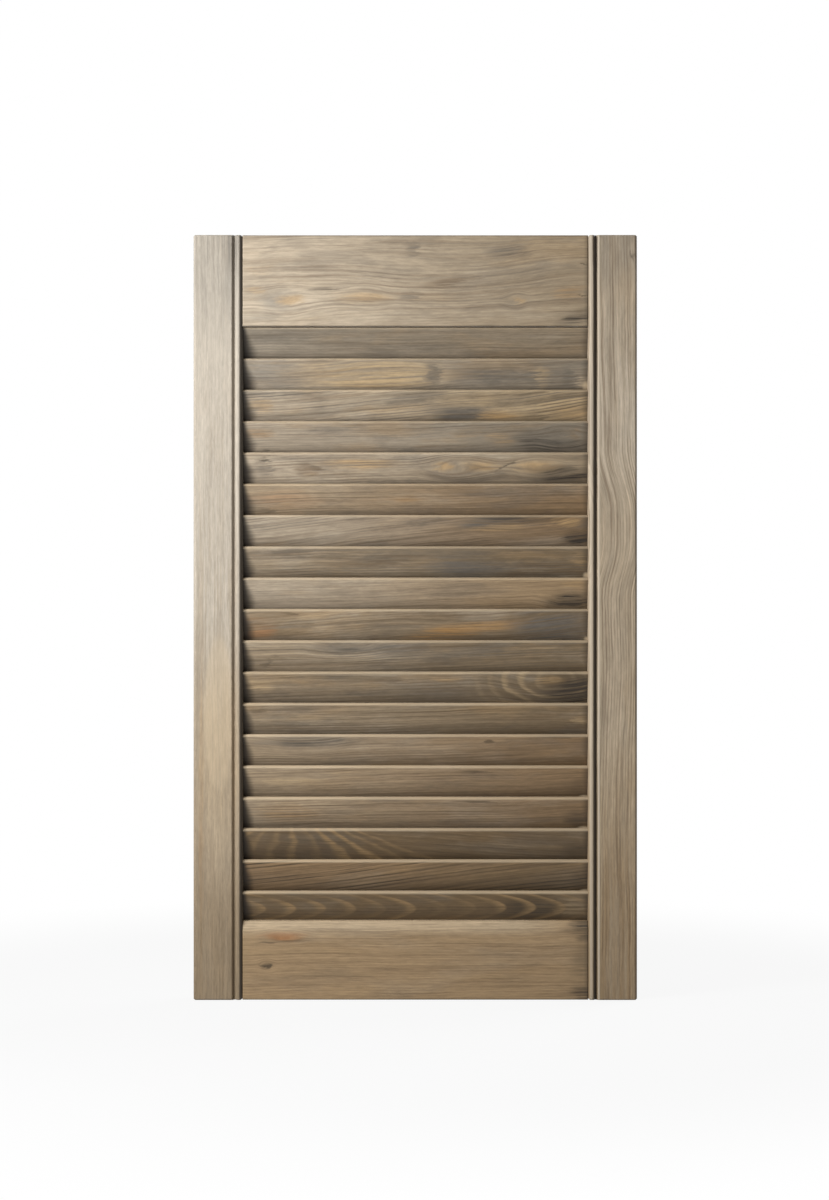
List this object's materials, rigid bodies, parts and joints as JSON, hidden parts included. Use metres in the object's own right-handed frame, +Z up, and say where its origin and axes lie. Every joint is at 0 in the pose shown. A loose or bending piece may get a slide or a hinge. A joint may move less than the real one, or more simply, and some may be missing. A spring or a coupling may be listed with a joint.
{
  "type": "louvred wooden shutter",
  "caption": "Upright wooden shutter panel: beaded stiles and plain rails frame fixed slanted slats that screen a window while letting air through.",
  "frame": {"origin": "middle of the panel's bottom edge, half way through its thickness", "axes": "+Z up along the stiles, +X to the right seen from the front, +Y from the beaded front to the back"},
  "size_m": [0.4, 0.021, 0.69],
  "materials": {
    "frame_wood": "stained pine, satin, grey-brown with darker stain in the quirks",
    "slat_wood": "stained pine, satin, uneven from slat to slat"
  },
  "bodies": {
    "root": {"left_stile": "frame_wood", "right_stile": "frame_wood", "top_rail": "frame_wood", "bottom_rail": "frame_wood", "slat_01": "slat_wood", "slat_02": "slat_wood", "slat_03": "slat_wood", "slat_04": "slat_wood", "slat_05": "slat_wood", "slat_06": "slat_wood", "slat_07": "slat_wood", "slat_08": "slat_wood", "slat_09": "slat_wood", "slat_10": "slat_wood", "slat_11": "slat_wood", "slat_12": "slat_wood", "slat_13": "slat_wood", "slat_14": "slat_wood", "slat_15": "slat_wood", "slat_16": "slat_wood", "slat_17": "slat_wood", "slat_18": "slat_wood", "slat_19": "slat_wood"}
  },
  "joints": []
}
